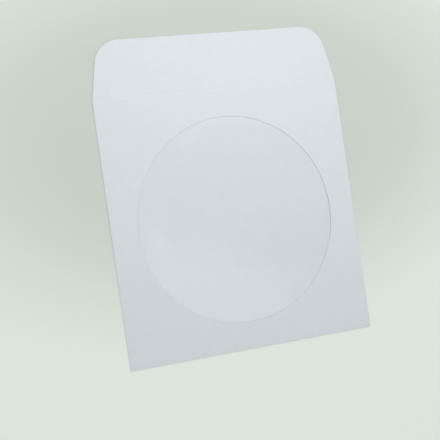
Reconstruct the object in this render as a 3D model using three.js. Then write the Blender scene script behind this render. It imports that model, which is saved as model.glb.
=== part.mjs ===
// A paper sleeve for one 120 mm disc. It lies on its back panel with the window up and the flap open.
// Lengths are in millimetres, +Z is up, +Y points to the flap, and the origin is under the middle.
// The sheet is drawn flat, as it is die-cut, and every point of it is then folded into place.
import * as THREE from "three";

// Body and window
const BODY_WIDTH = 126;
const BODY_HEIGHT = 126;
const WINDOW_DIAMETER = 100;

// Flap, open beyond its crease at the top of the front panel
const FLAP_LENGTH = 28;
const FLAP_TAPER = 5.5;
const FLAP_CORNER_RADIUS = 10;
const FLAP_TIP_LIFT = 0.08;

// Side tabs, folded in and glued under the back panel
const TAB_WIDTH = 12;
const TAB_SLANT = 5;
const TAB_BOTTOM_GAP = 2;
const TAB_TOP_GAP = 4;

// Back panel, folded up from the bottom over both tabs
const BACK_INSET = 2.5;
const BACK_SHOULDER = 6;
const THROAT_DROP = 3;

// Paper, and the heights it is folded to
const PAPER_THICKNESS = 0.12;
const GLUE_GAP = 0.03;
const POCKET_GAP = 0.15;
const CROWN = 0.3;

// Window film, glued behind the front panel
const FILM_THICKNESS = 0.05;
const FILM_MARGIN = 6;
const FILM_GLUE_GAP = 0.03;

// Steps in the meshes
const PANEL_STEPS = 16;
const RING_STEPS = 4;
const BEND_STEPS = 4;
const TAB_STEPS = 2;
const SHOULDER_STEPS = 2;
const BACK_STEPS = 6;
const FLAP_STEPS = 3;
const CORNER_STEPS = 5;
const FILM_STEPS = 14;

// Points of the blank closer than this are one point
const MERGE_GRID = 0.0001;

// Heights of the folded layers above the surface it lies on
const tabBottom = PAPER_THICKNESS + GLUE_GAP;
const frontTop = tabBottom + PAPER_THICKNESS + POCKET_GAP + PAPER_THICKNESS;
const sideBendRadius = (frontTop - tabBottom) / 2;
const bottomBendRadius = frontTop / 2;

// The flat blank: u runs across, v runs up, and v is 0 where the front panel meets its bottom bend
const halfWidth = BODY_WIDTH / 2 - sideBendRadius;
const creaseV = BODY_HEIGHT - bottomBendRadius;
const windowV = BODY_HEIGHT / 2 - bottomBendRadius;
const totalLength = BODY_HEIGHT + FLAP_LENGTH;
const frontStartY = bottomBendRadius - totalLength / 2;

// Evenly spaced numbers from one value to another, both included.
function stations(from, to, steps) {
  return Array.from({ length: steps + 1 }, (_, i) => from + ((to - from) * i) / steps);
}

// Height of the outer face of the front panel and flap: a low crown that grows towards the throat,
// and a flap that bends down from the crease and ends almost flat.
function frontHeight(u, v) {
  const up = THREE.MathUtils.clamp(v / creaseV, 0, 1);
  const crown = CROWN * (1 - (u / halfWidth) ** 2) * (1 - (1 - up) ** 2);
  const along = THREE.MathUtils.clamp((v - creaseV) / FLAP_LENGTH, 0, 1);
  const tip = PAPER_THICKNESS + FLAP_TIP_LIFT;
  return THREE.MathUtils.lerp(frontTop + crown, tip, Math.sin((along * Math.PI) / 2));
}

// Length of sheet in a half-turn fold, along the middle of the paper.
function bendLength(radius) {
  return Math.PI * (radius - PAPER_THICKNESS / 2);
}

// Where the sheet lies at a distance past the start of a half-turn fold: how far out from that start,
// which is negative once the sheet has come back under the panel, and how high.
function halfTurn(distance, depth, radius, axisHeight) {
  const straight = Math.max(distance - bendLength(radius), 0);
  const angle = Math.PI * Math.min(distance / bendLength(radius), 1);
  return {
    out: (radius - depth) * Math.sin(angle) - straight,
    height: axisHeight + (radius - depth) * Math.cos(angle),
  };
}

// Folds one point of the blank. Depth counts from the outer face into the paper.
function fold(u, v, depth) {
  if (Math.abs(u) > halfWidth) {
    const side = halfTurn(Math.abs(u) - halfWidth, depth, sideBendRadius, tabBottom + sideBendRadius);
    return new THREE.Vector3(Math.sign(u) * (halfWidth + side.out), frontStartY + v, side.height);
  }
  if (v < 0) {
    const bottom = halfTurn(-v, depth, bottomBendRadius, bottomBendRadius);
    return new THREE.Vector3(u, frontStartY - bottom.out, bottom.height);
  }
  return new THREE.Vector3(u, frontStartY + v, frontHeight(u, v) - depth);
}

// Turns patches of the blank into one closed sheet. A patch is a grid of [u, v] points whose rows run
// up while its columns run right, and neighbouring patches share the points along their border.
function foldedSheet(patches, topDepth, thickness) {
  const indexOf = new Map();
  const outer = [];
  const inner = [];
  const faces = [];
  const edges = new Map();
  const corner = ([u, v]) => {
    const key = `${Math.round(u / MERGE_GRID)},${Math.round(v / MERGE_GRID)}`;
    if (!indexOf.has(key)) {
      indexOf.set(key, outer.length);
      outer.push(fold(u, v, topDepth));
      inner.push(fold(u, v, topDepth + thickness));
    }
    return indexOf.get(key);
  };
  for (const rows of patches) {
    for (let r = 0; r < rows.length - 1; r++) {
      for (let c = 0; c < rows[r].length - 1; c++) {
        const quad = [rows[r][c], rows[r][c + 1], rows[r + 1][c + 1], rows[r + 1][c]].map(corner);
        faces.push([quad[0], quad[1], quad[2]], [quad[0], quad[2], quad[3]]);
        quad.forEach((from, i) => edges.set(`${from},${quad[(i + 1) % 4]}`, [from, quad[(i + 1) % 4]]));
      }
    }
  }
  const count = outer.length;
  const index = faces.flatMap(([a, b, c]) => [a, b, c, c + count, b + count, a + count]);
  for (const [from, to] of edges.values()) {
    if (!edges.has(`${to},${from}`)) {
      index.push(from, from + count, to + count, from, to + count, to);
    }
  }
  const geometry = new THREE.BufferGeometry().setFromPoints([...outer, ...inner]);
  geometry.setIndex(index);
  geometry.computeVertexNormals();
  return geometry;
}

// A piece of the blank in rows, each centred on u = 0, from its list of heights and half widths.
function centredRows(heights, halfWidthAt) {
  const across = stations(-1, 1, PANEL_STEPS);
  return heights.map((v) => across.map((share) => [share * halfWidthAt(v), v]));
}

// Heights at which the side edges of the front panel have points: its corners, and each tab's rows
function sideStations() {
  const tabRows = stations(TAB_BOTTOM_GAP, creaseV - TAB_TOP_GAP, PANEL_STEPS - 2);
  return [0, ...tabRows, creaseV];
}

// The front panel, as rings from the window's edge out to the panel's four sides.
function frontPanel() {
  const across = stations(-halfWidth, halfWidth, PANEL_STEPS);
  const up = sideStations();
  const border = [
    ...across.map((u) => [u, 0]),
    ...up.slice(1).map((v) => [halfWidth, v]),
    ...across.toReversed().slice(1).map((u) => [u, creaseV]),
    ...up.toReversed().slice(1).map((v) => [-halfWidth, v]),
  ];
  const rims = border.map(([u, v]) => {
    const angle = Math.atan2(v - windowV, u);
    const radius = WINDOW_DIAMETER / 2;
    return [radius * Math.cos(angle), windowV + radius * Math.sin(angle)];
  });
  return stations(1, 0, RING_STEPS).map((share) =>
    border.map(([u, v], i) => [
      THREE.MathUtils.lerp(rims[i][0], u, share),
      THREE.MathUtils.lerp(rims[i][1], v, share),
    ]),
  );
}

// The flap: a straight taper from the crease, then a round corner up to the tip.
function flap() {
  const tipV = creaseV + FLAP_LENGTH;
  const arcV = tipV - FLAP_CORNER_RADIUS;
  const taperAt = (v) => halfWidth - (FLAP_TAPER * (v - creaseV)) / FLAP_LENGTH;
  const arcHeights = stations(0, Math.PI / 2, CORNER_STEPS).map(
    (angle) => arcV + FLAP_CORNER_RADIUS * Math.sin(angle),
  );
  const halfWidthAt = (v) => {
    const rise = THREE.MathUtils.clamp((v - arcV) / FLAP_CORNER_RADIUS, 0, 1);
    return taperAt(v) - FLAP_CORNER_RADIUS * (1 - Math.sqrt(1 - rise ** 2));
  };
  return centredRows([...stations(creaseV, arcV, FLAP_STEPS), ...arcHeights.slice(1)], halfWidthAt);
}

// One side tab with its fold: the rows follow the panel's side, and the ends of the tab are slanted.
function sideTab(side) {
  const bend = bendLength(sideBendRadius);
  const distances = [
    ...stations(0, bend, BEND_STEPS),
    ...stations(bend, bend + TAB_WIDTH, TAB_STEPS).slice(1),
  ];
  const columns = side > 0 ? distances : distances.toReversed();
  const rows = sideStations().slice(1, -1);
  const low = rows[0];
  const high = rows[rows.length - 1];
  return rows.map((v) =>
    columns.map((distance) => {
      const slant = (TAB_SLANT * Math.max(distance - bend, 0)) / TAB_WIDTH;
      const share = (v - low) / (high - low);
      return [side * (halfWidth + distance), THREE.MathUtils.lerp(low + slant, high - slant, share)];
    }),
  );
}

// The bottom fold and the back panel, which narrows over a short shoulder and stops below the crease.
function backPanel() {
  const bend = bendLength(bottomBendRadius);
  const length = creaseV - THROAT_DROP;
  const halfWidthAt = (v) => {
    const shoulder = THREE.MathUtils.clamp((-v - bend) / BACK_SHOULDER, 0, 1);
    return halfWidth - (BACK_INSET - sideBendRadius) * shoulder;
  };
  const distances = [
    ...stations(0, bend, BEND_STEPS),
    ...stations(bend, bend + BACK_SHOULDER, SHOULDER_STEPS).slice(1),
    ...stations(bend + BACK_SHOULDER, bend + length, BACK_STEPS).slice(1),
  ];
  return centredRows(distances.toReversed().map((distance) => -distance), halfWidthAt);
}

// The film patch: a rectangle centred on the window, with the same margin all round.
function filmPatch() {
  const reach = WINDOW_DIAMETER / 2 + FILM_MARGIN;
  const across = stations(-reach, reach, FILM_STEPS);
  return across.map((rise) => across.map((u) => [u, windowV + rise]));
}

function sleeveMesh() {
  const paper = new THREE.MeshStandardMaterial({ color: 0xe4e8ec, roughness: 0.9, metalness: 0 });
  const patches = [frontPanel(), flap(), sideTab(1), sideTab(-1), backPanel()];
  const mesh = new THREE.Mesh(foldedSheet(patches, 0, PAPER_THICKNESS), paper);
  mesh.name = "paper_sleeve";
  return mesh;
}

function filmMesh() {
  const film = new THREE.MeshStandardMaterial({
    color: 0xf2f6f8,
    roughness: 0.08,
    metalness: 0,
    transparent: true,
    opacity: 0.2,
  });
  const depth = PAPER_THICKNESS + FILM_GLUE_GAP;
  const mesh = new THREE.Mesh(foldedSheet([filmPatch()], depth, FILM_THICKNESS), film);
  mesh.name = "window_film";
  return mesh;
}

const cdSleeve = new THREE.Group();
cdSleeve.add(sleeveMesh(), filmMesh());

export default cdSleeve;
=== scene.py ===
"""Looks of a paper sleeve for one disc, lying with its window up and its flap open.

The sheet is drawn flat, as it is die-cut, and every point of it is folded into place. A point of
the flat sheet is (u, v): u runs across, v runs up, and v is 0 where the front panel meets its
bottom fold. Lengths are in metres, +Z is up and +Y points to the flap.
"""

from __future__ import annotations

import logging
import math
from collections.abc import Callable, Sequence
from dataclasses import dataclass, replace
from enum import Enum

import bpy
from mathutils import Matrix, Vector, noise

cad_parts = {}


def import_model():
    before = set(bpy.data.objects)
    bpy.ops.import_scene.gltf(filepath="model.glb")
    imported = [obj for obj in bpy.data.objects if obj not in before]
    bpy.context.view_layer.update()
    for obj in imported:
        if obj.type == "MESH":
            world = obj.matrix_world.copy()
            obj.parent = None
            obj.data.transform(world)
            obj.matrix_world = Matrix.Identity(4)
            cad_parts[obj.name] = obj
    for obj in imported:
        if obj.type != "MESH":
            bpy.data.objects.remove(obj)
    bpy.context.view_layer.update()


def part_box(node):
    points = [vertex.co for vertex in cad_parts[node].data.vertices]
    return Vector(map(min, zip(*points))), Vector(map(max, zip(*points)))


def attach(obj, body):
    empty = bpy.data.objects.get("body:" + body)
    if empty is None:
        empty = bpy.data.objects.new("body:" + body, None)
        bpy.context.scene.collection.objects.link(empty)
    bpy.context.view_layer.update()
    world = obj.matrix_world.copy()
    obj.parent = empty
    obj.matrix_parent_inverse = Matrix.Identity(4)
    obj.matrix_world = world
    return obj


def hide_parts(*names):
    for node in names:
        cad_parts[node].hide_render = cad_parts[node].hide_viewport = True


LOG = logging.getLogger("cd_sleeve")
MM = 0.001
FILM_MARGIN = 6 * MM

FlatPoint = tuple[float, float]
Patch = list[list[FlatPoint]]
Place = tuple[float, float, float]


class Side(Enum):
    """The faces of a thin sheet, by the material slot that each takes."""

    OUTER = 0
    INNER = 1
    CUT = 2


class Tone(Enum):
    """Colours of the finishes, as linear values."""

    PAPER_LIGHT = (0.782, 0.807, 0.859)
    PAPER_SHADE = (0.754, 0.780, 0.832)
    LINING_LIGHT = (0.780, 0.805, 0.857)
    LINING_SHADE = (0.752, 0.778, 0.830)
    CUT_LIGHT = (0.800, 0.825, 0.875)
    CUT_SHADE = (0.760, 0.785, 0.840)
    CLEAR = (1.0, 1.0, 1.0)
    CARD_WIDE = (0.812, 0.872, 0.804)
    # Painted shade: the card's darker colour round the sleeve.
    CARD_PAINTED_SHADE = (0.612, 0.660, 0.604)
    SURROUND = (0.66, 0.685, 0.67)


class Seed(Enum):
    """Places in the noise from which each form of the sheet is read, so that no two are alike."""

    LONG_WAVES = (3.7, -1.9, 0.3)
    FINE_WAVES = (0.0, 0.0, 7.1)
    PUCKER_STRENGTH = (0.0, 0.0, 5.2)
    PUCKER_PLACE = (0.0, 0.0, 9.4)
    FLAP_TIP = (0.0, 0.7, 2.2)
    FILM = (0.0, 0.0, 4.4)


def stations(start: float, stop: float, steps: int) -> list[float]:
    """Evenly spaced numbers, both ends included.

    Args:
        start: First number.
        stop: Last number.
        steps: Number of steps between them.

    Returns:
        The steps + 1 numbers.
    """
    return [start + (stop - start) * i / steps for i in range(steps + 1)]


def eased(start: float, stop: float, steps: int, power: float) -> list[float]:
    """Numbers that lie closer together near the start.

    Args:
        start: First number.
        stop: Last number.
        steps: Number of steps between them.
        power: How strongly they crowd towards the start, with 1 for even steps.

    Returns:
        The steps + 1 numbers.
    """
    return [start + (stop - start) * (i / steps) ** power for i in range(steps + 1)]


def clamp(value: float, low: float = 0.0, high: float = 1.0) -> float:
    """The value, held between low and high."""
    return max(low, min(high, value))


def bell(distance: float, reach: float) -> float:
    """A smooth bump: 1 at no distance, and close to 0 past twice the reach."""
    return math.exp(-((distance / reach) ** 2))


def smooth(share: float) -> float:
    """A smooth step from 0 to 1, for a share from 0 to 1."""
    return share * share * (3 - 2 * share)


def uneven(x: float, y: float, seed: Seed) -> float:
    """Smooth noise between -1 and 1.

    Args:
        x: First coordinate, in lengths over which the noise changes.
        y: Second coordinate, in the same way.
        seed: Where in the noise the form starts.

    Returns:
        The noise at that place.
    """
    start_x, start_y, start_z = seed.value
    return noise.noise(Vector((x + start_x, y + start_y, start_z)))


@dataclass(frozen=True)
class HalfTurn:
    """A fold that turns the sheet right round, back under itself.

    Attributes:
        radius: Radius of the sheet's outer face in the fold.
        axis_height: Height of the fold's axis.
        paper: Thickness of the sheet.
    """

    radius: float
    axis_height: float
    paper: float

    @property
    def length(self) -> float:
        """Length of sheet in the fold, along its middle."""
        return math.pi * (self.radius - self.paper / 2)

    def place(self, distance: float, depth: float) -> tuple[float, float]:
        """Where the sheet lies past the start of the fold.

        Args:
            distance: Distance along the sheet from the start of the fold.
            depth: Depth into the sheet from its outer face.

        Returns:
            How far out from the start of the fold, and the height. The first is negative once the
            sheet has come back under the panel.
        """
        angle = math.pi * min(distance / self.length, 1.0)
        straight = max(distance - self.length, 0.0)
        arm = self.radius - depth
        return arm * math.sin(angle) - straight, self.axis_height + arm * math.cos(angle)


@dataclass(frozen=True)
class Wave:
    """Faint waves of a thin sheet.

    Attributes:
        height: Height of the waves.
        across: Distance over which they change across the sheet.
        up: Distance over which they change up the sheet.
        seed: Where in the noise they start.
    """

    height: float
    across: float
    up: float
    seed: Seed

    def at(self, u: float, v: float) -> float:
        """Height of the waves at a flat point, above or below zero."""
        return self.height * uneven(u / self.across, v / self.up, self.seed)


@dataclass(frozen=True)
class Relief:
    """How the front panel and the flap depart from a flat sheet.

    Attributes:
        crown: Rise of the panel's middle at the throat.
        long_waves: The paper's long waves.
        fine_waves: The shorter waves on them.
        wave_room: Height above the crown that is kept free for the waves.
        wave_fade: Power by which the waves fade out towards the folds.
        pucker: Height of the short waves where the film is glued round the window.
        pucker_count: Number of those waves round the window.
        pucker_reach: How far from the rim they fade out.
        pucker_least: Share of their height that they have on average.
        pucker_change: How quickly their height changes round the window.
        pucker_shift: How unevenly they are spaced, in radians.
        pucker_shift_change: How quickly their spacing changes round the window.
        tip_lift: Least height of the flap's tip above the floor.
        tip_wave: How much more parts of the tip lift.
        tip_change: How quickly that changes along the tip.
        corner_curl: How much the flap's corners curl up.
        curl_power: How closely the curl keeps to the corners.
        crease_depth: Depth of the groove that is pressed along the flap's crease.
        crease_reach: Half the groove's width.
        crease_middle: How far past the crease the groove's middle lies.
    """

    crown: float
    long_waves: Wave = Wave(0.18 * MM, 31 * MM, 46.5 * MM, Seed.LONG_WAVES)
    fine_waves: Wave = Wave(0.048 * MM, 12.4 * MM, 15.5 * MM, Seed.FINE_WAVES)
    wave_room: float = 0.06 * MM
    wave_fade: int = 6
    pucker: float = 0.035 * MM
    pucker_count: int = 17
    pucker_reach: float = 5 * MM
    pucker_least: float = 0.6
    pucker_change: float = 1.3
    pucker_shift: float = 2.5
    pucker_shift_change: float = 2.0
    tip_lift: float = 0.08 * MM
    tip_wave: float = 0.35 * MM
    tip_change: float = 1.9
    corner_curl: float = 0.30 * MM
    curl_power: int = 5
    crease_depth: float = 0.07 * MM
    crease_reach: float = 0.45 * MM
    crease_middle: float = 0.675 * MM

    def waves(self, u: float, v: float) -> float:
        """Height of the paper's waves at a flat point, above or below zero."""
        return self.long_waves.at(u, v) + self.fine_waves.at(u, v)

    def puckers(self, distance: float, angle: float) -> float:
        """Height of the short waves round the window.

        Args:
            distance: Distance from the window's rim.
            angle: Direction from the window's middle, in radians.

        Returns:
            The height, above or below zero.
        """
        change, shift_change = self.pucker_change, self.pucker_shift_change
        x, y = math.cos(angle), math.sin(angle)
        strength = self.pucker_least + uneven(change * x, change * y, Seed.PUCKER_STRENGTH)
        shift = self.pucker_shift * uneven(shift_change * x, shift_change * y, Seed.PUCKER_PLACE)
        wave = math.cos(self.pucker_count * angle + shift) * strength
        return self.pucker * wave * bell(distance, self.pucker_reach)

    def tip_height(self, across: float) -> float:
        """Height of the underside of the flap's tip.

        Args:
            across: Place across the tip, from -1 to 1.

        Returns:
            The height above the floor.
        """
        wave = clamp(0.5 + uneven(self.tip_change * across, 0.0, Seed.FLAP_TIP))
        curl = self.corner_curl * abs(across) ** self.curl_power
        return self.tip_lift + self.tip_wave * wave + curl


@dataclass(frozen=True)
class Steps:
    """How finely the mesh of the paper follows it.

    Attributes:
        side: Steps along each side of the front panel.
        ring: Steps from the panel's sides in to the window's rim.
        rim_crowding: How strongly those crowd towards the rim.
        flap: Steps from the crease to the flap's round corners.
        crease_crowding: How strongly those crowd towards the crease.
        corner: Steps round a corner of the flap.
        fold: Steps round a fold.
        tab: Steps across a tab.
        shoulder: Steps along the back panel's shoulder.
        back: Steps up the rest of the back panel.
    """

    side: int = 64
    ring: int = 20
    rim_crowding: float = 1.7
    flap: int = 26
    crease_crowding: float = 1.6
    corner: int = 14
    fold: int = 8
    tab: int = 8
    shoulder: int = 4
    back: int = 40


@dataclass(frozen=True)
class Blank:
    """The die-cut sheet of paper and how it folds.

    Attributes:
        body_width: Width of the folded body.
        body_height: Height of the folded body, up to the flap's crease.
        flap_length: Length of the flap past the crease.
        window_diameter: Diameter of the round window in the front panel.
        relief: How the front panel and the flap depart from a flat sheet.
        paper: Thickness of the sheet.
        glue_gap: Gap between the tabs and the back panel, where the glue is.
        pocket_gap: Height of the empty pocket at the side folds.
        flap_taper: How much narrower the flap's tip is on each side.
        flap_corner: Radius of the flap's corners.
        tab_width: Width of the side tabs.
        tab_slant: How far the slanted ends of a tab run in.
        tab_bottom_gap: Gap between a tab and the bottom fold.
        tab_top_gap: Gap between a tab and the crease.
        back_inset: How much narrower the back panel is on each side.
        back_shoulder: Length over which it narrows.
        throat_drop: How far below the crease the back panel ends.
        back_clearance: Gap between the back panel and the front panel where they lie closest.
        bow_reach: Distance inside the tabs over which the back panel bows up.
        bow_margin: Gap between a tab's edge and the start of the bow.
        bow_rise: Distance above the shoulder over which the bow starts.
        steps: How finely the mesh follows the sheet.
    """

    body_width: float
    body_height: float
    flap_length: float
    window_diameter: float
    relief: Relief
    paper: float = 0.12 * MM
    glue_gap: float = 0.03 * MM
    pocket_gap: float = 0.15 * MM
    flap_taper: float = 5.5 * MM
    flap_corner: float = 10 * MM
    tab_width: float = 12 * MM
    tab_slant: float = 5 * MM
    tab_bottom_gap: float = 2 * MM
    tab_top_gap: float = 4 * MM
    back_inset: float = 2.5 * MM
    back_shoulder: float = 6 * MM
    throat_drop: float = 3 * MM
    back_clearance: float = 0.14 * MM
    bow_reach: float = 2 * MM
    bow_margin: float = 0.2 * MM
    bow_rise: float = 12 * MM
    steps: Steps = Steps()

    @property
    def tab_bottom(self) -> float:
        """Height of a glued tab's lower face."""
        return self.paper + self.glue_gap

    @property
    def front_top(self) -> float:
        """Height of the front panel's outer face at the folds."""
        return self.tab_bottom + self.paper + self.pocket_gap + self.paper

    @property
    def side_fold(self) -> HalfTurn:
        """The fold between the front panel and a side tab."""
        radius = (self.front_top - self.tab_bottom) / 2
        return HalfTurn(radius, self.tab_bottom + radius, self.paper)

    @property
    def bottom_fold(self) -> HalfTurn:
        """The fold between the front panel and the back panel."""
        return HalfTurn(self.front_top / 2, self.front_top / 2, self.paper)

    @property
    def half_width(self) -> float:
        """Half the width of the flat front panel, between the side folds."""
        return self.body_width / 2 - self.side_fold.radius

    @property
    def crease(self) -> float:
        """Place of the flap's crease up the flat sheet."""
        return self.body_height - self.bottom_fold.radius

    @property
    def window_middle(self) -> float:
        """Place of the window's middle up the flat sheet."""
        return self.body_height / 2 - self.bottom_fold.radius

    @property
    def start_y(self) -> float:
        """Place of the flat sheet's zero along Y, with the whole length centred."""
        return self.bottom_fold.radius - (self.body_height + self.flap_length) / 2

    def front_height(self, u: float, v: float) -> float:
        """Height of the outer face of the front panel and the flap.

        Args:
            u: Place across the flat sheet.
            v: Place up the flat sheet.

        Returns:
            The height above the floor.
        """
        across = clamp(u / self.half_width, -1.0, 1.0)
        up = clamp(v / self.crease)
        belly = 1 - (1 - up) ** 2
        height = self.front_top + self.relief.crown * (1 - across**2) * belly
        from_sides = 1 - across**self.relief.wave_fade
        from_bottom = 1 - (1 - up) ** self.relief.wave_fade
        height += self.relief.waves(u, v) * from_sides * from_bottom
        rise = v - self.window_middle
        from_rim = math.hypot(u, rise) - self.window_diameter / 2
        height += self.relief.puckers(from_rim, math.atan2(rise, u)) * from_sides
        along = clamp((v - self.crease) / self.flap_length)
        if along > 0:
            tip = self.paper + self.relief.tip_height(across)
            height += (tip - height) * math.sin(along * math.pi / 2)
            past_crease = v - self.crease - self.relief.crease_middle
            height -= self.relief.crease_depth * bell(past_crease, self.relief.crease_reach)
        return height

    def back_lift(self, u: float, v: float) -> float:
        """How far the back panel bows up off the floor, between the tabs.

        Args:
            u: Place across the flat sheet.
            v: Place on the front panel that the point lies under.

        Returns:
            The lift above a flat back panel.
        """
        room = self.front_height(u, v) - 2 * self.paper - self.back_clearance
        bow_edge = self.half_width - self.tab_width - self.bow_margin
        across = clamp((bow_edge - abs(u)) / self.bow_reach)
        up = clamp((v - self.back_shoulder) / self.bow_rise)
        return max(room, 0.0) * smooth(across) * smooth(up)

    def fold(self, u: float, v: float, depth: float) -> Vector:
        """Folds one point of the flat sheet into place.

        Args:
            u: Place across the flat sheet.
            v: Place up the flat sheet.
            depth: Depth into the sheet from its outer face.

        Returns:
            The point in the frame.
        """
        if abs(u) > self.half_width:
            out, height = self.side_fold.place(abs(u) - self.half_width, depth)
            return Vector((math.copysign(self.half_width + out, u), self.start_y + v, height))
        if v < 0:
            out, height = self.bottom_fold.place(-v, depth)
            return Vector((u, self.start_y - out, height + self.back_lift(u, -out)))
        return Vector((u, self.start_y + v, self.front_height(u, v) - depth))

    def side_stations(self) -> list[float]:
        """Heights at which the front panel's side edges have points."""
        top = self.crease - self.tab_top_gap
        return [0.0, *stations(self.tab_bottom_gap, top, self.steps.side - 2), self.crease]

    def front_panel(self) -> Patch:
        """The front panel.

        Returns:
            Its rings, from the panel's four sides in to the window's rim.
        """
        across = stations(-self.half_width, self.half_width, self.steps.side)
        up = self.side_stations()
        border = [(u, 0.0) for u in across]
        border += [(self.half_width, v) for v in up[1:]]
        border += [(u, self.crease) for u in across[-2::-1]]
        border += [(-self.half_width, v) for v in up[-2::-1]]
        shares = eased(0.0, 1.0, self.steps.ring, self.steps.rim_crowding)
        return [[self.towards_rim(point, share) for point in border] for share in reversed(shares)]

    def towards_rim(self, border: FlatPoint, share: float) -> FlatPoint:
        """A point between the window's rim and the panel's border.

        Args:
            border: Point on the panel's border.
            share: 0 on the rim and 1 on the border.

        Returns:
            The point on the flat sheet.
        """
        angle = math.atan2(border[1] - self.window_middle, border[0])
        radius = self.window_diameter / 2
        rim = (radius * math.cos(angle), self.window_middle + radius * math.sin(angle))
        return tuple(inner + (outer - inner) * share for inner, outer in zip(rim, border))

    def centred_rows(self, heights: Sequence[float], half_width: Callable[[float], float]) -> Patch:
        """Rows of points, each centred on the sheet's middle line.

        Args:
            heights: Place of each row up the flat sheet, from low to high.
            half_width: Half the sheet's width at a place.

        Returns:
            The rows.
        """
        shares = stations(-1.0, 1.0, self.steps.side)
        return [[(share * half_width(v), v) for share in shares] for v in heights]

    def flap(self) -> Patch:
        """The flap: a straight taper from the crease, then a round corner up to the tip.

        Returns:
            Its rows, from the crease up.
        """
        arc_start = self.crease + self.flap_length - self.flap_corner

        def half_width(v: float) -> float:
            """Half the flap's width at a place up the flat sheet."""
            taper = self.flap_taper * (v - self.crease) / self.flap_length
            rise = clamp((v - arc_start) / self.flap_corner)
            return self.half_width - taper - self.flap_corner * (1 - math.sqrt(1 - rise**2))

        turns = stations(0.0, math.pi / 2, self.steps.corner)[1:]
        heights = eased(self.crease, arc_start, self.steps.flap, self.steps.crease_crowding)
        heights += [arc_start + self.flap_corner * math.sin(turn) for turn in turns]
        return self.centred_rows(heights, half_width)

    def side_tab(self, side: int) -> Patch:
        """One side tab with its fold, which has slanted ends.

        Args:
            side: 1 for the tab on the right, -1 for the one on the left.

        Returns:
            The rows, which follow the panel's side.
        """
        fold = self.side_fold.length
        distances = stations(0.0, fold, self.steps.fold)
        distances += stations(fold, fold + self.tab_width, self.steps.tab)[1:]
        rows = self.side_stations()[1:-1]
        patch = []
        for v in rows:
            share = (v - rows[0]) / (rows[-1] - rows[0])
            row = []
            for distance in distances[::side]:
                slant = self.tab_slant * max(distance - fold, 0.0) / self.tab_width
                low, high = rows[0] + slant, rows[-1] - slant
                row.append((side * (self.half_width + distance), low + (high - low) * share))
            patch.append(row)
        return patch

    def back_panel(self) -> Patch:
        """The bottom fold and the back panel, which narrows over a short shoulder.

        Returns:
            Its rows, from the throat to the fold.
        """
        fold = self.bottom_fold.length
        narrow = self.back_inset - self.side_fold.radius
        end = fold + self.crease - self.throat_drop

        def half_width(v: float) -> float:
            """Half the back panel's width at a place up the flat sheet."""
            return self.half_width - narrow * clamp((-v - fold) / self.back_shoulder)

        distances = stations(0.0, fold, self.steps.fold)
        distances += stations(fold, fold + self.back_shoulder, self.steps.shoulder)[1:]
        distances += stations(distances[-1], end, self.steps.back)[1:]
        return self.centred_rows([-distance for distance in reversed(distances)], half_width)

    def patches(self) -> list[Patch]:
        """Every patch of the sheet."""
        return [
            self.front_panel(),
            self.flap(),
            self.side_tab(1),
            self.side_tab(-1),
            self.back_panel(),
        ]


class SheetMesh:
    """A thin closed sheet, made from patches of a flat one."""

    GRID = 0.0001 * MM
    SHARP_ANGLE = math.radians(40)

    def __init__(
        self, place: Callable[[float, float, float], Vector], top: float, thickness: float
    ) -> None:
        """Starts an empty sheet.

        Args:
            place: Gives the place of a flat point at a depth.
            top: Depth of the sheet's outer face.
            thickness: Thickness of the sheet.
        """
        self.place = place
        self.depths = (top, top + thickness)
        self.index: dict[tuple[int, int], int] = {}
        self.points: list[FlatPoint] = []
        self.quads: list[list[int]] = []

    def corner(self, point: FlatPoint) -> int:
        """The number of a flat point, which patches share along their borders.

        Args:
            point: The flat point.

        Returns:
            Its number.
        """
        key = (round(point[0] / self.GRID), round(point[1] / self.GRID))
        if key not in self.index:
            self.index[key] = len(self.points)
            self.points.append(point)
        return self.index[key]

    def add(self, patch: Patch) -> None:
        """Adds a patch of the sheet.

        Args:
            patch: Its points, in rows that run up while its columns run right.
        """
        rows = [[self.corner(point) for point in row] for row in patch]
        for low, high in zip(rows, rows[1:]):
            for i in range(len(low) - 1):
                self.quads.append([low[i], low[i + 1], high[i + 1], high[i]])

    def cut_edges(self) -> list[tuple[int, int]]:
        """The directed edges that only one quad has, which are the sheet's cut edges."""
        edges = {(q[i], q[(i + 1) % 4]) for q in self.quads for i in range(4)}
        return sorted(edge for edge in edges if edge[::-1] not in edges)

    def build(self, name: str) -> bpy.types.Object:
        """Makes the object, with smooth faces and sharp cut edges.

        Args:
            name: Name of the object and its mesh.

        Returns:
            The object, linked to the scene.
        """
        count = len(self.points)
        corners = [self.place(u, v, depth) for depth in self.depths for u, v in self.points]
        faces = list(self.quads)
        faces += [[i + count for i in reversed(quad)] for quad in self.quads]
        faces += [[a, a + count, b + count, b] for a, b in self.cut_edges()]
        mesh = bpy.data.meshes.new(name)
        mesh.from_pydata(corners, [], faces)
        sides = [Side.OUTER.value] * len(self.quads) + [Side.INNER.value] * len(self.quads)
        sides += [Side.CUT.value] * (len(faces) - len(sides))
        mesh.polygons.foreach_set("material_index", sides)
        mesh.polygons.foreach_set("use_smooth", [True] * len(faces))
        mesh.set_sharp_from_angle(angle=self.SHARP_ANGLE)
        mesh.update()
        piece = bpy.data.objects.new(name, mesh)
        bpy.context.scene.collection.objects.link(piece)
        return piece


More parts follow.
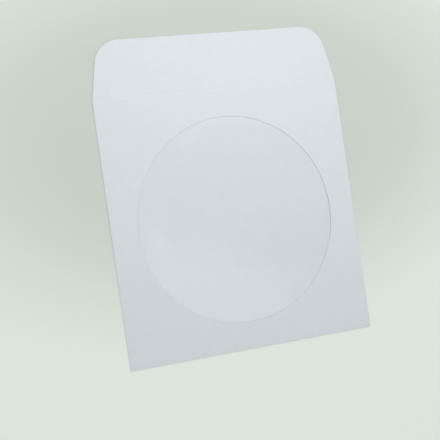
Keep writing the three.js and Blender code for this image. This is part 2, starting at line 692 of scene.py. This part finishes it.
class NodeBuilder:
    """Short calls for adding and linking the nodes of a material or a group."""

    def __init__(self, tree: bpy.types.NodeTree) -> None:
        """Keeps the node tree that the nodes go into."""
        self.tree = tree

    def add(self, kind: str, **inputs: object) -> bpy.types.Node:
        """Adds a node and fills its inputs.

        Args:
            kind: Blender's type name of the node.
            **inputs: Values or sockets by input name, with _ for a space.

        Returns:
            The node.
        """
        node = self.tree.nodes.new(kind)
        for name, value in inputs.items():
            self.fill(node.inputs[name.replace("_", " ")], value)
        return node

    def fill(self, socket: bpy.types.NodeSocket, value: object) -> None:
        """Fills one input.

        Args:
            socket: The input.
            value: A socket to link to it, or its plain value.
        """
        if isinstance(value, bpy.types.NodeSocket):
            self.tree.links.new(value, socket)
        else:
            socket.default_value = value

    def math(self, operation: str, *values: object) -> bpy.types.NodeSocket:
        """A Math node's result.

        Args:
            operation: Blender's name of the operation.
            *values: Numbers or sockets for its inputs.

        Returns:
            The socket with the result.
        """
        node = self.tree.nodes.new("ShaderNodeMath")
        node.operation = operation
        for socket, value in zip(node.inputs, values):
            self.fill(socket, value)
        return node.outputs[0]

    def vector(self, operation: str, *values: object) -> bpy.types.Node:
        """A Vector Math node.

        Args:
            operation: Blender's name of the operation.
            *values: Vectors or sockets for its inputs.

        Returns:
            The node.
        """
        node = self.tree.nodes.new("ShaderNodeVectorMath")
        node.operation = operation
        for socket, value in zip(node.inputs, values):
            self.fill(socket, value)
        return node

    def noise(
        self, place: bpy.types.NodeSocket, scale: object, detail: float
    ) -> bpy.types.NodeSocket:
        """A noise texture's value.

        Args:
            place: Socket with the coordinates.
            scale: Number or socket with the scale.
            detail: Detail of the noise.

        Returns:
            The socket with the value, which is about 0.5 on average.
        """
        node = self.add("ShaderNodeTexNoise", Vector=place, Scale=scale, Detail=detail)
        return node.outputs["Fac"]

    def slope(self, value: bpy.types.NodeSocket, start: float, stop: float) -> bpy.types.NodeSocket:
        """A smooth step.

        Args:
            value: Socket with the number to follow.
            start: Number at which the result is 0.
            stop: Number at which the result is 1.

        Returns:
            The socket with the result.
        """
        node = self.tree.nodes.new("ShaderNodeMapRange")
        node.interpolation_type = "SMOOTHSTEP"
        for socket, number in zip(node.inputs, (value, start, stop)):
            self.fill(socket, number)
        return node.outputs["Result"]

    def blend(self, share: object, first: object, second: object) -> bpy.types.NodeSocket:
        """A mix of two colours.

        Args:
            share: Number or socket, 0 for the first colour and 1 for the second.
            first: First colour, as four numbers or a socket.
            second: Second colour.

        Returns:
            The socket with the colour.
        """
        node = self.tree.nodes.new("ShaderNodeMix")
        node.data_type = "RGBA"
        for name, value in (("Factor_Float", share), ("A_Color", first), ("B_Color", second)):
            socket = next(s for s in node.inputs if s.identifier == name)
            self.fill(socket, value)
        return next(s for s in node.outputs if s.identifier == "Result_Color")


def opaque(tone: Tone) -> tuple[float, float, float, float]:
    """A tone as four numbers, for a colour socket."""
    return (*tone.value, 1.0)


class SheetGrain:
    """Shader group for the cloudy look and the fine tooth of paper."""

    NAME = "sheet_grain"
    CLOUD_DETAIL = 3.0
    FIBRE_DETAIL = 4.0
    CLOUD_CONTRAST = 2.2
    CLOUD_SHIFT = -0.6

    @classmethod
    def group(cls) -> bpy.types.NodeTree:
        """Builds the group once.

        Returns:
            The group, whose outputs are a mask of light and dark clouds and a surface height.
        """
        found = bpy.data.node_groups.get(cls.NAME)
        if found:
            return found
        tree = bpy.data.node_groups.new(cls.NAME, "ShaderNodeTree")
        sockets = (
            ("Place", "INPUT", "NodeSocketVector"),
            ("Cloud Scale", "INPUT", "NodeSocketFloat"),
            ("Fibre Scale", "INPUT", "NodeSocketFloat"),
            ("Fibre Share", "INPUT", "NodeSocketFloat"),
            ("Clouds", "OUTPUT", "NodeSocketFloat"),
            ("Height", "OUTPUT", "NodeSocketFloat"),
        )
        for name, direction, kind in sockets:
            tree.interface.new_socket(name=name, in_out=direction, socket_type=kind)
        build = NodeBuilder(tree)
        given = build.add("NodeGroupInput")
        place, share = given.outputs["Place"], given.outputs["Fibre Share"]
        clouds = build.noise(place, given.outputs["Cloud Scale"], cls.CLOUD_DETAIL)
        fibres = build.noise(place, given.outputs["Fibre Scale"], cls.FIBRE_DETAIL)
        spread = build.math("MULTIPLY_ADD", clouds, cls.CLOUD_CONTRAST, cls.CLOUD_SHIFT)
        cloud_part = build.math("MULTIPLY", spread, build.math("SUBTRACT", 1.0, share))
        fibre_part = build.math("MULTIPLY", fibres, share)
        result = build.add("NodeGroupOutput")
        build.fill(result.inputs["Clouds"], build.math("ADD", cloud_part, fibre_part))
        build.fill(result.inputs["Height"], fibres)
        return tree


@dataclass(frozen=True)
class SheetFinish:
    """Matte uncoated paper: its outer face, its lining side or its cut edge.

    Attributes:
        name: Name of the material.
        light: Colour of the lighter clouds.
        shade: Colour of the darker clouds.
        roughness: Roughness of the surface.
        cloud_scale: Clouds for each metre.
        fibre_scale: Fibres for each metre.
        fibre_share: How much the fibres show beside the clouds, from 0 to 1.
        tooth: Strength of the bump of the fibres.
        tooth_depth: Depth of that bump.
    """

    name: str
    light: Tone
    shade: Tone
    roughness: float = 0.75
    cloud_scale: float = 260.0
    fibre_scale: float = 2100.0
    fibre_share: float = 0.4
    tooth: float = 0.5
    tooth_depth: float = 0.04 * MM

    def material(self) -> bpy.types.Material:
        """Builds the material.

        Returns:
            The material.
        """
        made = bpy.data.materials.new(self.name)
        made.use_nodes = True
        made.node_tree.nodes.clear()
        build = NodeBuilder(made.node_tree)
        place = build.add("ShaderNodeTexCoord").outputs["Object"]
        grain = build.tree.nodes.new("ShaderNodeGroup")
        grain.node_tree = SheetGrain.group()
        build.fill(grain.inputs["Place"], place)
        build.fill(grain.inputs["Cloud Scale"], self.cloud_scale)
        build.fill(grain.inputs["Fibre Scale"], self.fibre_scale)
        build.fill(grain.inputs["Fibre Share"], self.fibre_share)
        colour = build.blend(grain.outputs["Clouds"], opaque(self.shade), opaque(self.light))
        bump = build.add(
            "ShaderNodeBump",
            Strength=self.tooth,
            Distance=self.tooth_depth,
            Height=grain.outputs["Height"],
        )
        surface = build.add(
            "ShaderNodeBsdfPrincipled",
            Base_Color=colour,
            Roughness=self.roughness,
            Normal=bump.outputs["Normal"],
        )
        build.add("ShaderNodeOutputMaterial", Surface=surface.outputs[0])
        return made


@dataclass(frozen=True)
class FilmFinish:
    """Clear glossy film: it throws no shadow, and its outer face mirrors a little.

    Attributes:
        name: Name of the material.
        roughness: Roughness of the film.
        ior: Index of refraction.
        faces: How many faces' worth of mirroring the outer face carries.
        ripple_scale: Fine ripples for each metre.
        ripple: Strength of their bump.
        ripple_depth: Depth of their bump.
        ripple_detail: Detail of the ripples.
    """

    name: str = "clear_film"
    roughness: float = 0.13
    ior: float = 1.5
    faces: float = 1.8
    ripple_scale: float = 75.0
    ripple: float = 0.6
    ripple_depth: float = 0.15 * MM
    ripple_detail: float = 2.0

    def material(self) -> bpy.types.Material:
        """Builds the material.

        Returns:
            The material.
        """
        made = bpy.data.materials.new(self.name)
        made.use_nodes = True
        made.node_tree.nodes.clear()
        build = NodeBuilder(made.node_tree)
        place = build.add("ShaderNodeTexCoord").outputs["Object"]
        bump = build.add(
            "ShaderNodeBump",
            Strength=self.ripple,
            Distance=self.ripple_depth,
            Height=build.noise(place, self.ripple_scale, self.ripple_detail),
        )
        normal = bump.outputs["Normal"]
        fresnel = build.add("ShaderNodeFresnel", IOR=self.ior, Normal=normal).outputs[0]
        inside = build.add("ShaderNodeNewGeometry").outputs["Backfacing"]
        shadow = build.add("ShaderNodeLightPath").outputs["Is Shadow Ray"]
        mirrored = build.math("MULTIPLY", fresnel, self.faces)
        mirrored = build.math("MULTIPLY", mirrored, build.math("SUBTRACT", 1.0, inside))
        share = build.math("MULTIPLY", mirrored, build.math("SUBTRACT", 1.0, shadow))
        clear = build.add("ShaderNodeBsdfTransparent", Color=opaque(Tone.CLEAR))
        gloss = build.add(
            "ShaderNodeBsdfAnisotropic",
            Color=opaque(Tone.CLEAR),
            Roughness=self.roughness,
            Normal=normal,
        )
        mix = build.tree.nodes.new("ShaderNodeMixShader")
        for socket, value in zip(mix.inputs, (share, clear.outputs[0], gloss.outputs[0])):
            build.fill(socket, value)
        build.add("ShaderNodeOutputMaterial", Surface=mix.outputs[0])
        return made


@dataclass(frozen=True)
class BackdropFinish:
    """The pale card that the sleeve lies on, with painted shade: darker round the sleeve, lighter
    away from it.

    Attributes:
        name: Name of the material.
        roughness: Roughness of the card.
        glow: How much of the card's own colour shows, beside the light that falls on it.
        painted_shade_reach: Reach of the painted shade round the sleeve, across and along the
            sleeve.
        painted_shade_middle: How far the middle of the painted shade lies towards the flap.
        fade: Shares of that reach at which the colour starts to change and is done.
    """

    name: str = "pale_card"
    roughness: float = 0.85
    glow: float = 0.55
    painted_shade_reach: tuple[float, float] = (0.20, 0.125)
    painted_shade_middle: float = 0.035
    fade: tuple[float, float] = (0.35, 1.0)

    def material(self) -> bpy.types.Material:
        """Builds the material.

        Returns:
            The material.
        """
        made = bpy.data.materials.new(self.name)
        made.use_nodes = True
        made.node_tree.nodes.clear()
        build = NodeBuilder(made.node_tree)
        place = build.add("ShaderNodeTexCoord").outputs["Object"]
        moved = build.vector("SUBTRACT", place, (0.0, self.painted_shade_middle, 0.0)).outputs["Vector"]
        scaled = build.vector("MULTIPLY", moved, (1 / self.painted_shade_reach[0], 1 / self.painted_shade_reach[1], 0.0))
        away = build.vector("LENGTH", scaled.outputs["Vector"]).outputs["Value"]
        # Painted shade: the card is darker round the sleeve and lighter away from it.
        colour = build.blend(
            build.slope(away, *self.fade), opaque(Tone.CARD_PAINTED_SHADE), opaque(Tone.CARD_WIDE)
        )
        lit = build.add("ShaderNodeBsdfPrincipled", Base_Color=colour, Roughness=self.roughness)
        own = build.add("ShaderNodeEmission", Color=colour)
        seen = build.add("ShaderNodeLightPath").outputs["Is Camera Ray"]
        mix = build.tree.nodes.new("ShaderNodeMixShader")
        share = build.math("MULTIPLY", seen, self.glow)
        for socket, value in zip(mix.inputs, (share, lit.outputs[0], own.outputs[0])):
            build.fill(socket, value)
        build.add("ShaderNodeOutputMaterial", Surface=mix.outputs[0])
        return made


@dataclass
class PaperSleeve:
    """The folded and glued sheet of paper.

    Attributes:
        blank: The flat sheet and its folds.
        node: CAD node that the piece stands for.
    """

    blank: Blank
    node: str = "paper_sleeve"

    def build(self) -> bpy.types.Object:
        """Folds the sheet into one closed mesh.

        Returns:
            The piece.
        """
        sheet = SheetMesh(self.blank.fold, 0.0, self.blank.paper)
        for patch in self.blank.patches():
            sheet.add(patch)
        return sheet.build("folded_paper")

    def dress(self, piece: bpy.types.Object) -> None:
        """Gives the outer face, the lining and the cut edges their paper.

        Args:
            piece: The piece that build made.
        """
        finishes = (
            SheetFinish("wove_paper_outer", Tone.PAPER_LIGHT, Tone.PAPER_SHADE, roughness=0.62),
            SheetFinish("wove_paper_lining", Tone.LINING_LIGHT, Tone.LINING_SHADE, roughness=0.8),
            SheetFinish("wove_paper_cut", Tone.CUT_LIGHT, Tone.CUT_SHADE, roughness=0.9),
        )
        for finish in finishes:
            piece.data.materials.append(finish.material())
        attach(piece, "root")
        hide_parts(self.node)


@dataclass
class WindowFilm:
    """The clear film that is glued behind the window.

    Attributes:
        blank: The sheet whose window it closes.
        margin: How far the film reaches past the window on each side.
        thickness: Thickness of the film.
        glue_gap: Gap between the film and the paper, where the glue is.
        ripples: The ripples that show in the window.
        ripple_start: Distance inside the rim over which they start.
        steps: Mesh steps along each side of the film.
        node: CAD node that the piece stands for.
    """

    blank: Blank
    margin: float = FILM_MARGIN
    thickness: float = 0.05 * MM
    glue_gap: float = 0.03 * MM
    ripples: Wave = Wave(0.05 * MM, 14 * MM, 30.8 * MM, Seed.FILM)
    ripple_start: float = 6 * MM
    steps: int = 112
    node: str = "window_film"

    def place(self, u: float, v: float, depth: float) -> Vector:
        """Places a point of the film behind the paper, with its ripples.

        Args:
            u: Place across the flat sheet.
            v: Place up the flat sheet.
            depth: Depth below the paper's outer face.

        Returns:
            The point in the frame.
        """
        point = self.blank.fold(u, v, depth)
        radius = math.hypot(u, v - self.blank.window_middle)
        free = clamp((self.blank.window_diameter / 2 - radius) / self.ripple_start)
        point.z += (self.ripples.at(u, v) - self.ripples.height / 2) * smooth(free)
        return point

    def build(self) -> bpy.types.Object:
        """Makes the film as one closed mesh.

        Returns:
            The piece.
        """
        reach = self.blank.window_diameter / 2 + self.margin
        across = stations(-reach, reach, self.steps)
        top = self.blank.paper + self.glue_gap
        sheet = SheetMesh(self.place, top, self.thickness)
        sheet.add([[(u, self.blank.window_middle + rise) for u in across] for rise in across])
        return sheet.build("clear_window_film")

    def dress(self, piece: bpy.types.Object) -> None:
        """Gives the film its finish.

        Args:
            piece: The piece that build made.
        """
        film = FilmFinish().material()
        for _ in Side:
            piece.data.materials.append(film)
        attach(piece, "root")
        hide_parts(self.node)


@dataclass(frozen=True)
class Softbox:
    """A rectangular studio lamp that is aimed at the sleeve.

    Attributes:
        name: Name of the lamp.
        place: Place of the lamp's middle.
        size: Width and height.
        power: Power in watts.
    """

    name: str
    place: Place
    size: tuple[float, float]
    power: float

    def build(self, aim: Vector) -> None:
        """Adds the lamp.

        Args:
            aim: Point that the lamp faces.
        """
        lamp = bpy.data.lights.new(self.name, "AREA")
        lamp.shape = "RECTANGLE"
        lamp.size, lamp.size_y = self.size
        lamp.energy = self.power
        piece = bpy.data.objects.new(self.name, lamp)
        piece.location = self.place
        piece.rotation_euler = (aim - Vector(self.place)).to_track_quat("-Z", "Y").to_euler()
        piece.visible_camera = False
        bpy.context.scene.collection.objects.link(piece)


@dataclass(frozen=True)
class Camera:
    """The camera, placed against the window face as the photograph was.

    Attributes:
        focal_px: Focal length in pixels of the frame.
        frame_px: Width of the frame in pixels.
        sensor_mm: Width of the sensor.
        distance: Distance from the camera's plane to the window's middle.
        yaw: Turn of the face about its own upright axis, in degrees.
        pitch: Tilt of the face, in degrees.
        roll: Turn of the face in the picture, in degrees.
        shift_x: How far right of the picture's middle the window's middle lies.
        shift_y: How far above it.
    """

    focal_px: float = 1000.0
    frame_px: float = 440.0
    sensor_mm: float = 36.0
    distance: float = 483.1 * MM
    yaw: float = 20.28
    pitch: float = -0.84
    roll: float = 8.23
    shift_x: float = 8.51 * MM
    shift_y: float = 0.60 * MM

    def build(self, middle: Vector) -> None:
        """Adds the camera and makes it the scene's own.

        Args:
            middle: The window's middle on the sleeve's face.
        """
        turn = (
            Matrix.Rotation(math.radians(self.roll), 4, "Z")
            @ Matrix.Rotation(math.radians(self.pitch), 4, "X")
            @ Matrix.Rotation(math.radians(self.yaw), 4, "Y")
        )
        seen = Matrix.Translation((self.shift_x, self.shift_y, -self.distance)) @ turn
        lens = bpy.data.cameras.new("camera")
        lens.sensor_width = self.sensor_mm
        lens.lens = self.focal_px / self.frame_px * self.sensor_mm
        lens.clip_start = 10 * MM
        lens.clip_end = 20.0
        piece = bpy.data.objects.new("camera", lens)
        piece.matrix_world = Matrix.Translation(middle) @ seen.inverted()
        bpy.context.scene.collection.objects.link(piece)
        bpy.context.scene.camera = piece


@dataclass
class Studio:
    """The pale floor, the light and the camera.

    Attributes:
        middle: The window's middle on the sleeve's face.
        floor_reach: Half the floor's width.
        floor_gap: How far the floor lies below the sleeve.
        ambient: Strength of the light from all round.
    """

    middle: Vector
    floor_reach: float = 3.0
    floor_gap: float = 0.02 * MM
    ambient: float = 0.912

    def build_floor(self) -> None:
        """Adds the floor, a flat sheet of pale card."""
        reach = self.floor_reach
        corners = [(-reach, -reach), (reach, -reach), (reach, reach), (-reach, reach)]
        mesh = bpy.data.meshes.new("floor")
        mesh.from_pydata([(x, y, -self.floor_gap) for x, y in corners], [], [(0, 1, 2, 3)])
        floor = bpy.data.objects.new("floor", mesh)
        bpy.context.scene.collection.objects.link(floor)
        floor.data.materials.append(BackdropFinish().material())

    def build_light(self) -> None:
        """Adds the lamps and the light from all round."""
        softboxes = (
            Softbox("top_softbox", place=(0.02, 0.13, 0.18), size=(0.26, 0.14), power=0.18),
            Softbox("sheen_card", place=(0.35, -0.19, 1.1), size=(0.26, 0.60), power=0.44),
            Softbox("sheen_strip", place=(0.27, 0.17, 1.1), size=(0.10, 0.14), power=0.03),
        )
        for softbox in softboxes:
            softbox.build(self.middle)
        world = bpy.data.worlds.new("studio")
        world.use_nodes = True
        world.node_tree.nodes.clear()
        build = NodeBuilder(world.node_tree)
        rays = build.add("ShaderNodeLightPath").outputs
        seen = build.math("MAXIMUM", rays["Is Camera Ray"], rays["Is Glossy Ray"])
        seen = build.math("MAXIMUM", seen, rays["Is Transmission Ray"])
        strength = build.math("MULTIPLY_ADD", seen, 1.0 - self.ambient, self.ambient)
        light = build.add("ShaderNodeBackground", Color=opaque(Tone.SURROUND), Strength=strength)
        build.add("ShaderNodeOutputWorld", Surface=light.outputs[0])
        bpy.context.scene.world = world

    def build(self) -> None:
        """Builds the whole studio and sets plain colours."""
        self.build_floor()
        self.build_light()
        Camera().build(self.middle)
        bpy.context.scene.view_settings.view_transform = "Standard"


def blank_from_frame() -> Blank:
    """Works out the sheet from the CAD solids' boxes.

    Returns:
        The sheet. The film is centred on the window, and the window on the body.
    """
    low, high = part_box("paper_sleeve")
    film_low, film_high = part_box("window_film")
    body_height = film_low.y + film_high.y - 2 * low.y
    flat = Blank(
        body_width=high.x - low.x,
        body_height=body_height,
        flap_length=high.y - low.y - body_height,
        window_diameter=film_high.x - film_low.x - 2 * FILM_MARGIN,
        relief=Relief(crown=0.0),
    )
    crown = high.z - flat.front_top - flat.relief.wave_room
    return replace(flat, relief=Relief(crown=crown))


def main() -> None:
    """Builds the sleeve round the CAD frame, in order, and reports each piece."""
    logging.basicConfig(level=logging.INFO, format="%(name)s: %(message)s")
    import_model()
    blank = blank_from_frame()
    for part in (PaperSleeve(blank), WindowFilm(blank)):
        piece = part.build()
        part.dress(piece)
        LOG.info("%s has %d faces", piece.name, len(piece.data.polygons))
    middle = blank.fold(0.0, blank.window_middle, 0.0)
    Studio(middle).build()
    LOG.info("studio built round the window at %.1f mm", middle.z / MM)


if __name__ == "__main__":
    main()
